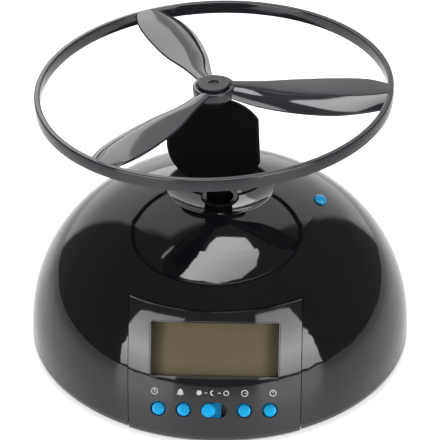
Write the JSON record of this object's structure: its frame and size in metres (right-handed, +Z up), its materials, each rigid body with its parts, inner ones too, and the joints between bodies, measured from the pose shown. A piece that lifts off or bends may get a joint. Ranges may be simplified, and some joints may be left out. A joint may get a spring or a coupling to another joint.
{
  "type": "runaway alarm clock",
  "caption": "Domed alarm clock with a leaning display, push buttons and a mode slide; its alarm spins a cup and launches a key topped by a ringed rotor that has to be caught and put back.",
  "frame": {"origin": "under the centre of the dome, on the surface that the feet stand on", "axes": "+Z up, display facing -Y, +X to the right as the display is read"},
  "size_m": [0.13, 0.1307, 0.1012],
  "materials": {
    "gloss_black": "high gloss",
    "panel_grey": "gloss",
    "clear_lens": "clear",
    "display_grey": "satin liquid-crystal glass",
    "matte_black": "fine moulded texture",
    "satin_black": "satin",
    "rotor_grey": "gloss",
    "rubber_black": "matte",
    "board_green": "satin solder mask",
    "steel": "satin",
    "brass": "machined",
    "gear_white": "natural nylon",
    "cell_sleeve": "plain foil sleeve",
    "speaker_black": "matte",
    "button_blue": "gloss"
  },
  "bodies": {
    "base": {"dome_shell": "gloss_black", "front_panel": "panel_grey", "display_window": "clear_lens", "lcd_panel": "display_grey", "lcd_frame": "matte_black", "zebra_strips": "rubber_black", "circuit_board": "board_green", "board_screws": "steel", "tact_switches": "matte_black", "slide_switch": "steel", "dome_button_board": "board_green", "dome_tact_switch": "matte_black", "dome_board_screws": "steel", "base_plate": "matte_black", "rubber_feet": "rubber_black", "housing_screws": "steel", "battery_cells": "cell_sleeve", "battery_contacts": "steel", "speaker": "speaker_black", "gearbox_frame": "gear_white", "frame_screws": "steel", "drive_motor": "steel", "lower_bush": "brass", "upper_bush": "brass"},
    "launcher": {"launch_spindle": "gloss_black", "drive_gear": "gear_white"},
    "motor": {"motor_shaft": "steel", "motor_pinion": "brass"},
    "flyer": {"launch_key": "satin_black", "ring_rotor": "rotor_grey", "hub_cap": "rotor_grey", "rotor_screw": "steel"},
    "time_button": {"time_button": "button_blue"},
    "alarm_button": {"alarm_button": "button_blue"},
    "hour_button": {"hour_button": "button_blue"},
    "minute_button": {"minute_button": "button_blue"},
    "mode_switch": {"mode_switch": "button_blue"},
    "dome_button": {"dome_button": "button_blue"},
    "battery_door": {"battery_door": "matte_black", "door_screw": "steel"}
  },
  "joints": [
    {"name": "launcher_spin", "type": "hinge", "parent": "base", "child": "launcher", "pos_m": [0, 0, 0], "axis": [0, 0, 1], "continuous": true},
    {"name": "motor_spin", "type": "hinge", "parent": "base", "child": "motor", "pos_m": [-0.01631, -0.00761, 0], "axis": [0, 0, 1], "continuous": true},
    {"name": "flyer_lift", "type": "slide", "parent": "launcher", "child": "flyer", "axis": [-0.0384, 0, 0.9993], "range_m": [0, 0.03]},
    {"name": "time_press", "type": "slide", "parent": "base", "child": "time_button", "axis": [0, 0.866, -0.5], "range_m": [0, 0.0007], "stiffness_N_per_m": 400, "springref_m": -0.0005},
    {"name": "alarm_press", "type": "slide", "parent": "base", "child": "alarm_button", "axis": [0, 0.866, -0.5], "range_m": [0, 0.0007], "stiffness_N_per_m": 400, "springref_m": -0.0005},
    {"name": "hour_press", "type": "slide", "parent": "base", "child": "hour_button", "axis": [0, 0.866, -0.5], "range_m": [0, 0.0007], "stiffness_N_per_m": 400, "springref_m": -0.0005},
    {"name": "minute_press", "type": "slide", "parent": "base", "child": "minute_button", "axis": [0, 0.866, -0.5], "range_m": [0, 0.0007], "stiffness_N_per_m": 400, "springref_m": -0.0005},
    {"name": "mode_slide", "type": "slide", "parent": "base", "child": "mode_switch", "axis": [1, 0, 0], "range_m": [0, 0.0036]},
    {"name": "dome_press", "type": "slide", "parent": "base", "child": "dome_button", "axis": [-0.401, 0, -0.9161], "range_m": [0, 0.0007], "stiffness_N_per_m": 400, "springref_m": -0.0005},
    {"name": "door_drop", "type": "slide", "parent": "base", "child": "battery_door", "axis": [0, 0, -1], "range_m": [0, 0.02]}
  ],
  "couplings": [
    {"joint": "motor_spin", "follows": "launcher_spin", "ratio": -3}
  ]
}
